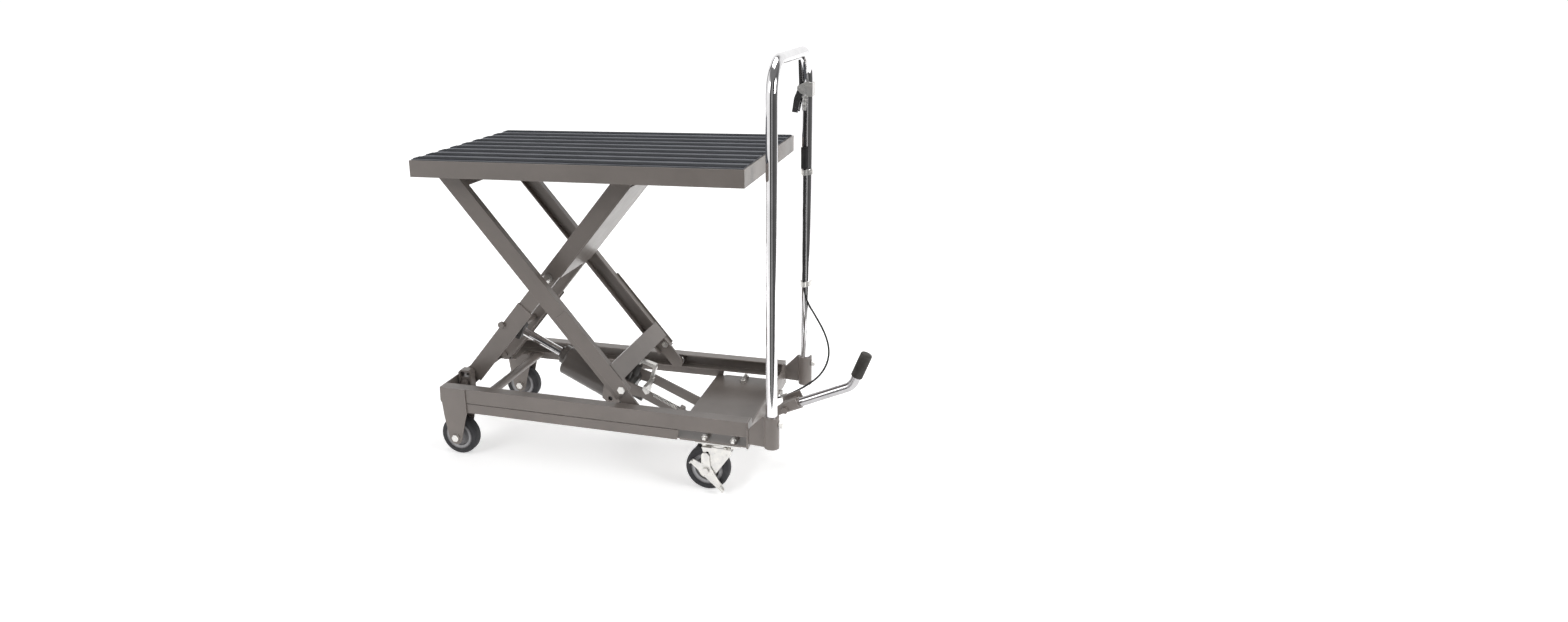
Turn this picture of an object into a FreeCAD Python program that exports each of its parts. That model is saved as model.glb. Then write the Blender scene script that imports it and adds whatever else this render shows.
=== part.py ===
import FreeCAD, Part
import os, math
from FreeCAD import Vector as V, Rotation as Rot, Placement as Pl

doc = FreeCAD.newDocument("LiftTable")
sheet = doc.addObject("Spreadsheet::Sheet", "Dims")
DIMS = dict(CentreShift=110.4, TableLen=800.0, TableWid=500.0, SkirtDeep=39.0, SheetThick=3.0,
            TableTopZ=766.0, PivotX=-376.0, PivotLowZ=165.0, ArmLen=754.1, ArmRise=50.27,
            ArmDeep=40.0, OuterDeep=42.0, InnerY=95.5, OuterY=158.0, WebThick=3.0,
            RailY=202.0, RailTopZ=183.0, RailLowZ=147.0, FlangeWid=29.0, RailEnd=388.0,
            DeckZ=122.0, DeckThick=4.0, WheelR=50.0, WheelWid=30.0, CasterR=52.0, CasterWid=32.0,
            WheelY=178.0, TubeR=12.7, TubeBore=11.2, HandleTopZ=980.0, HandleX=444.0, HandleY=195.0,
            HandleBend=76.0, SocketR=17.0, SocketBore=13.0, RollerR=14.5, RollerWid=22.0,
            CrossR=11.0, CrossBore=9.5, RamShaftR=8.0, RodR=11.0, RamR=38.0, RamLen=148.0,
            BarThick=5.0, MatThick=2.0, RibHigh=1.5, RibWid=29.0, RibStep=56.0, PinR=8.0,
            SwivelX=320.0, TrailX=291.0, PedalTubeR=11.0, StripBack=3.0, StripFace=1.0)
for i, (k, v) in enumerate(DIMS.items()):
    c = "B%d" % (i + 1)
    sheet.set("A%d" % (i + 1), k)
    sheet.set(c, str(v))
    sheet.setAlias(c, k)
doc.recompute()
D = type("D", (), {k: float(sheet.get(k)) for k in DIMS})
XO = D.CentreShift
NODES = []

def done(o, x=0, y=0, z=0, label=None):
    o.Placement = Pl(V(x - XO, y, z), Rot())
    if label:
        o.Label = label
    NODES.append(o)
    return o

# ---------- PartDesign helpers ----------
def body(label):
    b = doc.addObject("PartDesign::Body", label)
    b.Label = label
    return b

def sk(b, role, off=0.0):
    s = b.newObject("Sketcher::SketchObject", b.Name + "_sk%d" % len(b.Group))
    pl = [f for f in b.Origin.OriginFeatures if f.Role == role][0]
    s.AttachmentSupport = [(pl, "")]
    s.MapMode = "FlatFace"
    s.AttachmentOffset = Pl(V(0, 0, off), Rot())
    return s

def poly(s, pts):
    n0 = s.GeometryCount
    n = len(pts)
    import Sketcher
    for i in range(n):
        a, c = pts[i], pts[(i + 1) % n]
        s.addGeometry(Part.LineSegment(V(a[0], a[1], 0), V(c[0], c[1], 0)), False)
    for i in range(n):
        s.addConstraint(Sketcher.Constraint("Coincident", n0 + i, 2, n0 + (i + 1) % n, 1))
    return s

def rect(s, x0, y0, x1, y1):
    return poly(s, [(x0, y0), (x1, y0), (x1, y1), (x0, y1)])

def circ(s, x, y, r, expr=None):
    import Sketcher
    i = s.addGeometry(Part.Circle(V(x, y, 0), V(0, 0, 1), r), False)
    c = s.addConstraint(Sketcher.Constraint("Radius", i, r))
    if expr:
        s.setExpression("Constraints[%d]" % c, expr)
    return s

def pad(b, s, length, mid=False, rev=False):
    p = b.newObject("PartDesign::Pad", b.Name + "_pad%d" % len(b.Group))
    p.Profile = s
    if isinstance(length, str):
        p.setExpression("Length", length)
    else:
        p.Length = length
    p.Midplane = mid
    p.Reversed = rev
    s.Visibility = False
    b.Tip = p
    return p

def pocket(b, s, length=None, mid=True, rev=False):
    p = b.newObject("PartDesign::Pocket", b.Name + "_cut%d" % len(b.Group))
    p.Profile = s
    p.Length = 2000 if length is None else length
    p.Midplane = mid
    p.Reversed = rev
    b.Tip = p
    return p

def rev(b, s):
    r = b.newObject("PartDesign::Revolution", b.Name + "_rev")
    r.Profile = s
    r.ReferenceAxis = (s, ["H_Axis"])
    r.Angle = 360
    b.Tip = r
    return r

# ---------- shape helpers ----------
def cylY(x, z, r, y0, y1):
    return Part.makeCylinder(r, y1 - y0, V(x, y0, z), V(0, 1, 0))

def hexY(x, z, af, y0, y1):
    r = af / math.sqrt(3)
    w = Part.makePolygon([V(x + r * math.cos(math.radians(60 * k)), y0, z + r * math.sin(math.radians(60 * k))) for k in range(7)])
    return Part.Face(w).extrude(V(0, y1 - y0, 0))

def hexZ(x, y, af, z0, z1):
    r = af / math.sqrt(3)
    w = Part.makePolygon([V(x + r * math.cos(math.radians(60 * k)), y + r * math.sin(math.radians(60 * k)), z0) for k in range(7)])
    return Part.Face(w).extrude(V(0, 0, z1 - z0))

def plateY(pts, y0, y1):
    w = Part.makePolygon([V(p[0], y0, p[1]) for p in pts] + [V(pts[0][0], y0, pts[0][1])])
    return Part.Face(w).extrude(V(0, y1 - y0, 0))

def feature(label, shape):
    o = doc.addObject("Part::Feature", label)
    o.Label = label
    o.Shape = shape
    return done(o)

def fuse(lst):
    s = lst[0]
    for k in lst[1:]:
        s = s.fuse(k)
    return s.removeSplitter()

# ---------- scissor geometry ----------
th = math.radians(D.ArmRise)
cs, sn = math.cos(th), math.sin(th)
CX, CZ = D.PivotX, D.PivotLowZ
L = D.ArmLen
BX = CX + L * cs
AZ = CZ + L * sn
OX, OZ = CX + L * cs / 2, CZ + L * sn / 2

def pin_(s, o):      # along the inner arm from C, o to the lower right
    return (CX + s * cs + o * sn, CZ + s * sn - o * cs)

def pout(s, o):      # along the outer arm from B, o to the upper right
    return (BX - s * cs + o * sn, CZ + s * sn + o * cs)

def arm_outline(f, s0, s1, h, tip0, tip1):
    pts = []
    for k in range(0, 7):
        a = math.radians(90 + 30 * k)
        pts.append(f(s0 + tip0 * math.cos(a), tip0 * math.sin(a)))
    pts.append(f(s0 + 26, -h))
    pts.append(f(s1 - 26, -h))
    for k in range(0, 7):
        a = math.radians(-90 + 30 * k)
        pts.append(f(s1 + tip1 * math.cos(a), tip1 * math.sin(a)))
    pts.append(f(s1 - 26, h))
    pts.append(f(s0 + 26, h))
    return pts

def strip(f, s0, s1, o0, o1):
    return [f(s0, o0), f(s1, o0), f(s1, o1), f(s0, o1)]

# ================= base =================
for side, sg in (("near", -1), ("far", 1)):
    b = body("base_rail_" + side)
    s = sk(b, "XZ_Plane")
    rect(s, -400, 147, 388, 183)
    pad(b, s, "Dims.WebThick", rev=(sg < 0))
    for z in (180, 147):
        s = sk(b, "XZ_Plane")
        rect(s, -400, z, 388, z + 3)
        pad(b, s, "Dims.FlangeWid", rev=(sg < 0))
    # lower strip, joined to the channel by a recessed neck that leaves a groove
    s = sk(b, "XZ_Plane", sg * D.StripFace)
    poly(s, [(-331, 120), (222, 120), (227, 144), (-331, 144)])
    pad(b, s, "Dims.WebThick", rev=(sg < 0))
    s = sk(b, "XZ_Plane", sg * D.StripBack)
    rect(s, -331, 142.5, 226, 149)
    pad(b, s, "Dims.WebThick", rev=(sg < 0))
    done(b, y=sg * D.RailY)

b = body("left_cross_rail")
s = sk(b, "YZ_Plane")
rect(s, -202, 147, 202, 183)
pad(b, s, "Dims.WebThick")
s = sk(b, "YZ_Plane")
rect(s, -172.6, 147, -102, 150)
rect(s, 102, 147, 172.6, 150)
pad(b, s, 53)
s = sk(b, "YZ_Plane")
rect(s, -102, 147, 102, 150)
pad(b, s, 9)
done(b, x=-403)

co = doc.addObject("Part::Cylinder", "TubeOut")
co.setExpression("Radius", "Dims.CrossR")
co.setExpression("Height", "2 * (Dims.RailY - Dims.StripBack - Dims.WebThick) - 0.4")
ci = doc.addObject("Part::Cylinder", "TubeIn")
ci.setExpression("Radius", "Dims.CrossBore")
ci.setExpression("Height", "2 * (Dims.RailY - Dims.StripBack - Dims.WebThick) - 0.4")
ct = doc.addObject("Part::Cut", "cross_tube")
ct.Base, ct.Tool = co, ci
ct.Label = "cross_tube"
ct.Placement = Pl(V(-318 - XO, 195.8, 135.5), Rot(V(1, 0, 0), 90))
NODES.append(ct)

b = body("deck_plate")
s = sk(b, "XY_Plane")
poly(s, [(208, -196.3), (229, -196.3), (229, -202), (388, -202), (388, 202), (229, 202), (229, 196.3), (208, 196.3)])
pad(b, s, "Dims.DeckThick")
s = sk(b, "XY_Plane")
for x in (287, 355):
    for y in (-194, -162, 162, 194):
        circ(s, x, y, 4.1)
pocket(b, s)
done(b, z=D.DeckZ)

b = body("end_plate")
s = sk(b, "YZ_Plane")
poly(s, [(-205, 120), (205, 120), (205, 168), (202, 183), (170, 183), (166, 166), (-166, 166), (-170, 183), (-202, 183), (-205, 168)])
pad(b, s, 4)
done(b, x=388)

for side, sg in (("near", -1), ("far", 1)):
    b = body("handle_socket_" + side)
    s = sk(b, "XY_Plane", 128)
    circ(s, 0, 0, D.SocketR, "Dims.SocketR")
    pad(b, s, 75)
    s = sk(b, "XZ_Plane", -sg * 6)
    poly(s, [(-52, 132), (-12, 130), (-12, 202), (-20, 202), (-52, 168)])
    pad(b, s, 4, mid=True)
    s = sk(b, "XY_Plane", 128)
    circ(s, 0, 0, D.SocketBore, "Dims.SocketBore")
    pocket(b, s, 300)
    s = sk(b, "YZ_Plane", 10)
    circ(s, 0, 186, 5.0)
    pocket(b, s, 20, mid=False, rev=True)
    done(b, x=D.HandleX, y=sg * D.HandleY)

b = body("handle_bar")
s1 = sk(b, "XY_Plane", 132)
circ(s1, 0, -D.HandleY, D.TubeR, "Dims.TubeR")
circ(s1, 0, -D.HandleY, D.TubeBore, "Dims.TubeBore")
s2 = sk(b, "YZ_Plane")
hy, hz, hr = D.HandleY, D.HandleTopZ, D.HandleBend
import Sketcher
s2.addGeometry(Part.LineSegment(V(-hy, 132, 0), V(-hy, hz - hr, 0)), False)
s2.addGeometry(Part.ArcOfCircle(Part.Circle(V(-hy + hr, hz - hr, 0), V(0, 0, 1), hr), math.pi / 2, math.pi), False)
s2.addGeometry(Part.LineSegment(V(-hy + hr, hz, 0), V(hy - hr, hz, 0)), False)
s2.addGeometry(Part.ArcOfCircle(Part.Circle(V(hy - hr, hz - hr, 0), V(0, 0, 1), hr), 0, math.pi / 2), False)
s2.addGeometry(Part.LineSegment(V(hy, hz - hr, 0), V(hy, 132, 0)), False)
doc.recompute()
ap = b.newObject("PartDesign::AdditivePipe", "HandlePipe")
ap.Profile = s1
ap.Spine = s2
b.Tip = ap
done(b, x=D.HandleX)

# ---------- fixed wheel forks ----------
fk_out = [(-402, 183), (-403, 148), (-399, 142), (-395, 104), (-390, 76), (-385, 46), (-378, 35), (-366, 31), (-356, 35), (-351, 43), (-335, 106), (-331, 119), (-331, 183)]
fk_in = [(-400, 144), (-395, 104), (-390, 76), (-385, 46), (-378, 35), (-366, 31), (-356, 35), (-351, 43), (-335, 106), (-331, 144)]
fs = []
for sg in (-1, 1):
    ys = sorted((sg * 202.0, sg * 205.0))
    yi = sorted((sg * 153.0, sg * 156.0))
    a = plateY(fk_out, ys[0], ys[1])
    c = plateY(fk_in, yi[0], yi[1])
    yt = sorted((sg * 153.0, sg * 202.0))
    t = Part.makeBox(66, yt[1] - yt[0], 3, V(-400, yt[0], 144))
    yt2 = sorted((sg * 202.0, sg * 205.0))
    t2 = Part.makeBox(66, 3, 3, V(-400, yt2[0], 144))
    f = fuse([a, c, t, t2])
    f = f.cut(cylY(-366, 50, 5.2, -210, 210))
    fs.append(f)
feature("fixed_forks", Part.makeCompound(fs))

# ---------- frame bolts: axle bolts, handle clamp bolts, caster nuts ----------
bs = []
for sg in (-1, 1):
    y0, y1 = sorted((sg * 149.0, sg * 205.0))
    bolt = cylY(-366, 50, 5.0, min(sg * 149, sg * 209), max(sg * 149, sg * 209))
    hd = hexY(-366, 50, 17, *sorted((sg * 205.0, sg * 212.0)))
    nt = hexY(-366, 50, 17, *sorted((sg * 145.0, sg * 153.0)))
    bs.append(fuse([bolt, hd, nt]))
    sh = Part.makeCylinder(4.8, 6, V(D.HandleX + 13.2, sg * D.HandleY, 186), V(1, 0, 0))
    hx = hexZ(0, 0, 17, 0, 8)
    hx.Placement = Pl(V(D.HandleX + 17.6, sg * D.HandleY, 186), Rot(V(0, 1, 0), 90))
    bs.append(fuse([sh, hx]))
    for x in (287, 355):
        for y in (162, 194):
            n = hexZ(x, sg * y, 13, 126, 132.5)
            st = Part.makeCylinder(4.0, 21, V(x, sg * y, 116.2), V(0, 0, 1))
            bh = hexZ(x, sg * y, 13, 113.2, 118.2)
            bs.append(fuse([n, st, bh]))
feature("frame_bolts", Part.makeCompound(bs))

# ---------- arm anchors ----------
an = []
for sg in (-1, 1):
    y0, y1 = sorted((sg * 103.0, sg * 125.0))
    o = plateY([(-394, 150), (-394, 194), (-388, 200), (-364, 200), (-358, 194), (-358, 150)], y0, y1)
    i = plateY([(-390, 149), (-390, 192), (-386, 196), (-366, 196), (-362, 192), (-362, 149)], y0, y1)
    o = o.cut(i)
    bush = plateY([(-390.5, 150), (-390.5, 180), (-361.5, 180), (-361.5, 150)], min(sg * 106, sg * 120), max(sg * 106, sg * 120))
    o = fuse([o, bush])
    o = o.cut(cylY(CX, CZ, 8.15, -160, 160))
    an.append(o)
feature("arm_anchors", Part.makeCompound(an))

# ---------- hanger of the hydraulic unit and pedal ----------
EX, EZ = 272.0, 82.0
h = []
for sg in (-1, 1):
    y0, y1 = sorted((sg * 56.0, sg * 61.0))
    lug = plateY([(250, 119), (256, 74), (264, 66), (280, 66), (288, 74), (294, 119)], y0, y1)
    h.append(lug)
h.append(Part.makeBox(60, 130, 3, V(242, -65, 119)))
hs = fuse(h).cut(cylY(EX, EZ, 8.15, -70, 70))
feature("unit_hanger", hs)
cy = doc.addObject("Part::Cylinder", "pivot_shaft")
cy.setExpression("Radius", "Dims.PinR")
cy.Height = 132
cy.Label = "pivot_shaft"
cy.Placement = Pl(V(EX - XO, 66, EZ), Rot(V(1, 0, 0), 90))
NODES.append(cy)

# ---------- swivel casters ----------
TX = D.TrailX
SX = D.SwivelX
WY = D.WheelY
pl = []
for sg in (-1, 1):
    y0 = sg * WY - 25
    p = Part.makeBox(108, 50, 3, V(266, y0, 119))
    r = Part.makeCone(24, 27, 7, V(SX, sg * WY, 112), V(0, 0, 1))
    p = fuse([p, r])
    for x in (287, 355):
        for y in (162, 194):
            p = p.cut(Part.makeCylinder(4.1, 10, V(x, sg * y, 115)))
            p = p.cut(Part.makeCylinder(8.2, 8, V(x, sg * y, 111)))
    p = p.cut(Part.makeCylinder(6.2, 20, V(SX, sg * WY, 108)))
    pl.append(p)
feature("caster_plates", Part.makeCompound(pl))

leg = [(281, 109), (350, 109), (352, 100), (313, 44), (304, 36), (291, 34), (279, 38), (275, 48), (278, 62), (286, 92)]
for side, sg in (("near", -1), ("far", 1)):
    yc = sg * WY
    parts = [plateY(leg, yc - 22, yc - 19), plateY(leg, yc + 19, yc + 22)]
    parts.append(Part.makeBox(69, 44, 3, V(281, yc - 22, 106)))
    parts.append(Part.makeCylinder(25, 3.6, V(SX, yc, 108), V(0, 0, 1)))
    parts.append(Part.makeCylinder(6, 16, V(SX, yc, 106), V(0, 0, 1)))
    f = fuse(parts).cut(cylY(TX, 52, 5.1, yc - 40, yc + 40))
    # square window of the brake linkage on the outer leg
    f = f.cut(Part.makeBox(6, 8, 6, V(292, yc + sg * 20.5 - 4, 93)))
    # rubber brake pad carrier on the trailing side of the fork crown
    ax_ = fuse([cylY(TX, 52, 5.0, yc - 28, yc + 28)]
               + [hexY(TX, 52, 16, *sorted((yc - sg * 22, yc - sg * 28)))]
               + [hexY(TX, 52, 16, *sorted((yc + sg * 26.5, yc + sg * 32)))])
    feature("caster_fork_" + side, Part.makeCompound([f, ax_]))
    # brake rocker: disc round the axle, lever tabs up left and down right, pad arm
    y0, y1 = sorted((yc + sg * 23, yc + sg * 26.3))
    rk_ul = [(255, 68), (262, 78), (TX - 1, 66), (TX - 12, 43), (273, 52)]
    rk_lr = [(TX + 13, 60), (334.5, 13), (335, 7), (325, 5.5), (TX - 2, 37)]
    rk_up = [(281, 90), (284, 96), (296, 96), (300, 90), (TX + 12, 58), (TX - 10, 58)]
    disc = fuse([plateY(rk_ul, y0, y1), plateY(rk_lr, y0, y1), plateY(rk_up, y0, y1), cylY(TX, 52, 15.5, y0, y1)])
    tab1 = Part.makeBox(9, 10, 3, V(0, 0, 0))
    tab1.Placement = Pl(V(255.6, min(yc + sg * 23, yc + sg * 33), 68.6), Rot(V(0, 1, 0), -50))
    foot = Part.makeBox(3, 14, 15)
    foot.Placement = Pl(V(332, min(yc + sg * 23, yc + sg * 37), 6.5), Rot(V(0, 1, 0), -32))
    rocker = fuse([disc, tab1, foot]).cut(cylY(TX, 52, 5.15, -230, 230))
    feature("brake_lever_" + side, rocker)

def wheel(label_t, label_h, x, y, z, R, W, rim, bore):
    b = body(label_t)
    s = sk(b, "YZ_Plane")
    w = W / 2
    poly(s, [(-w, rim), (-w, R - 5), (-w + 3, R - 1.2), (-w + 7, R), (w - 7, R), (w - 3, R - 1.2), (w, R - 5), (w, rim)])
    rev(b, s)
    done(b, x=x, y=y, z=z)
    b = body(label_h)
    s = sk(b, "YZ_Plane")
    w = W / 2
    poly(s, [(-w - 1, bore), (-w - 1, 14), (-w + 5, 16), (-w + 5, rim - 7), (-w + 1, rim - 4), (-w + 1, rim),
             (w - 1, rim), (w - 1, rim - 4), (w - 5, rim - 7), (w - 5, 16), (w + 1, 14), (w + 1, bore)])
    rev(b, s)
    done(b, x=x, y=y, z=z)

for side, sg in (("near", -1), ("far", 1)):
    wheel("fixed_tyre_" + side, "fixed_hub_" + side, -366, sg * WY, D.WheelR, D.WheelR, D.WheelWid, 36.0, 5.06)
    wheel("caster_tyre_" + side, "caster_hub_" + side, TX, sg * WY, 52.0, D.CasterR, D.CasterWid, 37.5, 5.06)

# ================= inner arms =================
for side, sg in (("near", -1), ("far", 1)):
    b = body("inner_arm_" + side)
    h = D.ArmDeep / 2
    s = sk(b, "XZ_Plane")
    poly(s, arm_outline(pin_, 0, L, h, 16, 16))
    pad(b, s, "Dims.WebThick", mid=True)
    for o in (-h, h - 3):
        s = sk(b, "XZ_Plane")
        poly(s, strip(pin_, 30, L - 28, o, o + 3))
        pad(b, s, 12, rev=(sg < 0))
    # doubler on the lower outside face
    s = sk(b, "XZ_Plane", -sg * 1.5)
    poly(s, strip(pin_, 20, 270, -h - 4 + 2, h + 4))
    pad(b, s, 3, rev=(sg > 0))
    s = sk(b, "XZ_Plane")
    for ss, r in ((0, D.PinR), (L, 7.0), (L / 2, 7.25)):
        p_ = pin_(ss, 0)
        circ(s, p_[0], p_[1], r + 0.02)
    pocket(b, s, 60)
    done(b, y=sg * D.InnerY)

b = body("inner_tie_plate")
s = sk(b, "XZ_Plane")
poly(s, strip(pin_, 400, 700, 20.2, 23.2))
pad(b, s, "2 * (Dims.InnerY + 1.4)", mid=True)
done(b)

# shafts fixed in the inner arms
pins = []
for sg in (-1, 1):
    c0, c1 = sorted((sg * 90.0, sg * 127.0))
    pins.append(fuse([cylY(CX, CZ, D.PinR, c0, c1), hexY(CX, CZ, 17, *sorted((sg * 126.0, sg * 132.0)))]))
    dx, dz = pin_(L, 0)
    pins.append(fuse([cylY(dx, dz, 7.0, *sorted((sg * 90.0, sg * 126.0))), cylY(dx, dz, 10.0, *sorted((sg * 97.1, sg * 101.0)))]))
    bx, bz = pin_(191, -21)
    pins.append(cylY(bx, bz, 8.5, *sorted((sg * 100.02, sg * 107.0))))
px, pz = pin_(153.4, 0)
pins.append(cylY(px, pz, D.RamShaftR, -D.InnerY + 1.5, D.InnerY - 1.5))
feature("inner_arm_pins", Part.makeCompound(pins))

def roller(label, x, y, z, bore):
    b = body(label)
    s = sk(b, "YZ_Plane")
    w = D.RollerWid / 2
    poly(s, [(-w, bore), (-w, D.RollerR - 1), (-w + 1, D.RollerR), (w - 1, D.RollerR), (w, D.RollerR - 1), (w, bore)])
    rev(b, s)
    done(b, x=x, y=y, z=z)

dx, dz = pin_(L, 0)
for side, sg in (("near", -1), ("far", 1)):
    roller("table_roller_" + side, dx, sg * 113.5, dz, 7.06)
    roller("base_roller_" + side, BX, sg * 186.0, CZ, 7.06)

# ================= outer arms =================
for side, sg in (("near", -1), ("far", 1)):
    b = body("outer_arm_" + side)
    h = D.OuterDeep / 2
    s = sk(b, "XZ_Plane")
    ol = arm_outline(pout, 0, L, h, 16, 16)
    # square cut foot 45 mm from the roller axis, rounded head at A
    ol = [pout(45, h), pout(45, -h)] + ol[8:17]
    poly(s, ol)
    pad(b, s, "Dims.WebThick", mid=True)
    for o in (-h, h - 3):
        s = sk(b, "XZ_Plane")
        poly(s, strip(pout, 45, L - 28, o, o + 3))
        pad(b, s, 18, rev=(sg < 0))
    s = sk(b, "XZ_Plane", -sg * 1.5)
    poly(s, strip(pout, 50, 286, h - 30, h + 4))
    pad(b, s, 2.5, rev=(sg > 0))
    s = sk(b, "XZ_Plane")
    for ss, r in ((L, D.PinR),):
        p_ = pout(ss, 0)
        circ(s, p_[0], p_[1], r + 0.06)
    pocket(b, s, 60)
    done(b, y=sg * 166.5)

rp = []
for sg in (-1, 1):
    y0, y1 = sorted((sg * 159.0, sg * 164.8))
    ptsr = [pout(112, 17.5), pout(112, -17.5)]
    for k in range(0, 7):
        a = math.radians(-90 - 30 * k)
        ptsr.append(pout(16 * math.cos(a), 16 * math.sin(a)))
    p = plateY(ptsr, y0, y1)
    ax_ = cylY(BX, CZ, 7.0, *sorted((sg * 160.0, sg * 199.0)))
    cl = cylY(BX, CZ, 10.0, *sorted((sg * 164.0, sg * 173.5)))
    rp.append(fuse([p, ax_, cl]))
feature("roller_plates", Part.makeCompound(rp))

cp = plateY(strip(pout, 74, 120, 21.2, 24.2), -163.5, 163.5)
lip = plateY(strip(pout, 117, 120, 8, 21.3), -146, 146)
tb = plateY(strip(pout, L - 70, L - 52, -23.4, -21.2), -163.5, 163.5)
tb2 = plateY(strip(pout, L - 54, L - 52, -21.3, -8), -146, 146)
feature("outer_arm_ties", Part.makeCompound([fuse([cp, lip]), fuse([tb, tb2])]))

ab = []
for sg in (-1, 1):
    bx, bz = pout(57, 8)
    ab.append(hexY(bx, bz, 17, *sorted((sg * 170.55, sg * 172.6))))
    ab.append(fuse([hexY(bx, bz, 16, *sorted((sg * 152.5, sg * 158.9))), cylY(bx, bz, 4.0, *sorted((sg * 149.0, sg * 153.0)))]))
    # central pivot bolt with spacer, turning in the inner arm
    s1_ = cylY(OX, OZ, 7.0, *sorted((sg * 88.0, sg * 165.0)))
    s2_ = cylY(OX, OZ, 12.0, *sorted((sg * 97.4, sg * 165.0)))
    ab.append(fuse([s1_, s2_]))
feature("arm_bolts", Part.makeCompound(ab))

# ================= table =================
b = body("table_top")
s = sk(b, "XY_Plane", 0)
rect(s, -D.TableLen / 2, -D.TableWid / 2, D.TableLen / 2, D.TableWid / 2)
pad(b, s, "Dims.SkirtDeep")
s = sk(b, "XY_Plane", 0)
t = D.SheetThick
rect(s, -D.TableLen / 2 + t, -D.TableWid / 2 + t, D.TableLen / 2 - t, D.TableWid / 2 - t)
pocket(b, s, D.SkirtDeep - t, mid=False, rev=True)
done(b, z=D.TableTopZ - D.SkirtDeep)

b = body("table_mat")
s = sk(b, "XY_Plane", 0)
rect(s, -396, -246, 396, 246)
pad(b, s, "Dims.MatThick")
s = sk(b, "XY_Plane", 2.0)
rect(s, -396, -4 * D.RibStep - D.RibWid / 2, 396, -4 * D.RibStep + D.RibWid / 2)
rib = pad(b, s, "Dims.RibHigh")
doc.recompute()
lp = b.newObject("PartDesign::LinearPattern", "MatRibs")
lp.Originals = [rib]
lp.Direction = ([f for f in b.Origin.OriginFeatures if f.Role == "Y_Axis"][0], [""])
lp.Length = 8 * D.RibStep
lp.Occurrences = 9
b.Tip = lp
done(b, z=D.TableTopZ)

tr = []
for sg in (-1, 1):
    w = Part.makeBox(342, 3, 36, V(50, min(sg * 128.0, sg * 131.0), 727))
    f1 = Part.makeBox(342, 30, 3, V(50, min(sg * 101.5, sg * 131.5), 727))
    f2 = Part.makeBox(342, 30, 2.5, V(50, min(sg * 101.5, sg * 131.5), 760.5))
    tr.append(fuse([w, f1, f2]))
feature("table_tracks", Part.makeCompound(tr))

pb = []
for sg in (-1, 1):
    pts = [(-396, 763), (-396, 744), (-388, 732), (-376, 728), (-364, 732), (-356, 744), (-356, 763)]
    y0, y1 = sorted((sg * 172.5, sg * 176.5))
    a = plateY(pts, y0, y1)
    pn = fuse([cylY(CX, AZ, D.PinR, *sorted((sg * 150.0, sg * 180.0))), cylY(CX, AZ, 11.0, *sorted((sg * 168.4, sg * 172.6)))])
    pb.append(fuse([a, pn]))
feature("table_pivots", Part.makeCompound(pb))

# ================= hydraulic unit =================
AXX, AXZ = -0.9063, 0.4226          # axis of rod and reservoir, up to the left
NX, NZ = 0.4226, 0.9063             # normal, up to the right
def uaxis(x, z, s, n):              # point s along the axis direction, n along the normal
    return (x + s * AXX + n * NX, z + s * AXZ + n * NZ)
PX, PZ = px, pz
adir = V(AXX, 0, AXZ)
rx, rz = uaxis(PX, PZ, -154, 0)             # rod axis point at the reservoir end face
cxr, czr = uaxis(rx, rz, 0, -10)
cyl = Part.makeCylinder(D.RamR, D.RamLen, V(cxr, 0, czr) - adir * D.RamLen, adir)
cyl = cyl.makeFillet(5, [e for e in cyl.Edges if hasattr(e.Curve, "Radius")])
gl = Part.makeCylinder(25, 13, V(rx, 0, rz) - adir * 1, adir)
gl2 = Part.makeCylinder(17, 8, V(rx, 0, rz) + adir * 11, adir)
cyl = fuse([cyl, gl, gl2])
bore = Part.makeCylinder(D.RodR + 0.3, 166, V(rx, 0, rz) - adir * 140, adir)
cyl = cyl.cut(bore)
feature("cylinder_body", cyl)

# piston rod with its open eye, the eye opening is wider than the shaft
rod = Part.makeCylinder(D.RodR, 172, V(PX, 0, PZ) - adir * 190, adir)
def upoly(pts, y0, y1):
    return plateY([uaxis(PX, PZ, a, n) for a, n in pts], y0, y1)
eye = upoly([(-19, -20), (-14, -23), (17, -23), (21, -18), (21, 14), (17, 19), (-14, 19), (-19, 16)], -14, 14)
hole = upoly([(-11.8, -17.2), (14.8, -17.2), (14.8, 14), (-11.8, 14)], -20, 20)
rod = fuse([rod, eye]).cut(hole)
feature("piston_rod", rod)

ex0, ez0 = uaxis(cxr, czr, -D.RamLen, 0)
def bpoly(pts, y0, y1):
    return plateY([uaxis(ex0, ez0, -a, n) for a, n in pts], y0, y1)
pb1 = bpoly([(0.3, -36), (34, -36), (44, -22), (44, 40), (34, 50), (8, 50), (0.3, 38)], -44, 44)
pb2 = Part.makeCylinder(15, 30, V(*[uaxis(ex0, ez0, -24, 48)[0], 20, uaxis(ex0, ez0, -24, 48)[1]]), V(NX, 0, NZ))
pb3 = Part.makeCylinder(9, 34, V(uaxis(ex0, ez0, -43, 10)[0], 0, uaxis(ex0, ez0, -43, 10)[1]), V(-AXX, 0, -AXZ))
pb4 = Part.makeCylinder(7, 26, V(uaxis(ex0, ez0, -22, 46)[0], -20, uaxis(ex0, ez0, -22, 46)[1]), V(NX, 0, NZ))
pump = fuse([pb1, pb2, pb3, pb4])
feature("pump_block", pump)

bars = []
for sg in (-1, 1):
    y0, y1 = sorted((sg * 44.5, sg * 49.5))
    pts = [(-26, 134), (-14, 208), (8, 213), (28, 200), (40, 186), (82, 172), (262, 96), (276, 95), (285, 84), (283, 73),
           (272, 68), (258, 70), (80, 146), (46, 152), (14, 122), (-8, 120)]
    a = plateY(pts, y0, y1)
    a = a.cut(cylY(EX, EZ, 8.15, -70, 70)).cut(cylY(-4, 134, 6, -70, 70))
    bars.append(a)
lug = plateY([(186, 140), (196, 136), (196, 112), (186, 114)], -62, -49.5)
lug = lug.cut(Part.makeCylinder(1.6, 60, V(99, -55, 168) + V(.9025, 0, -.4307) * 75, V(.9025, 0, -.4307)))
bars.append(lug)
feature("unit_side_bars", Part.makeCompound(bars))

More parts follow.
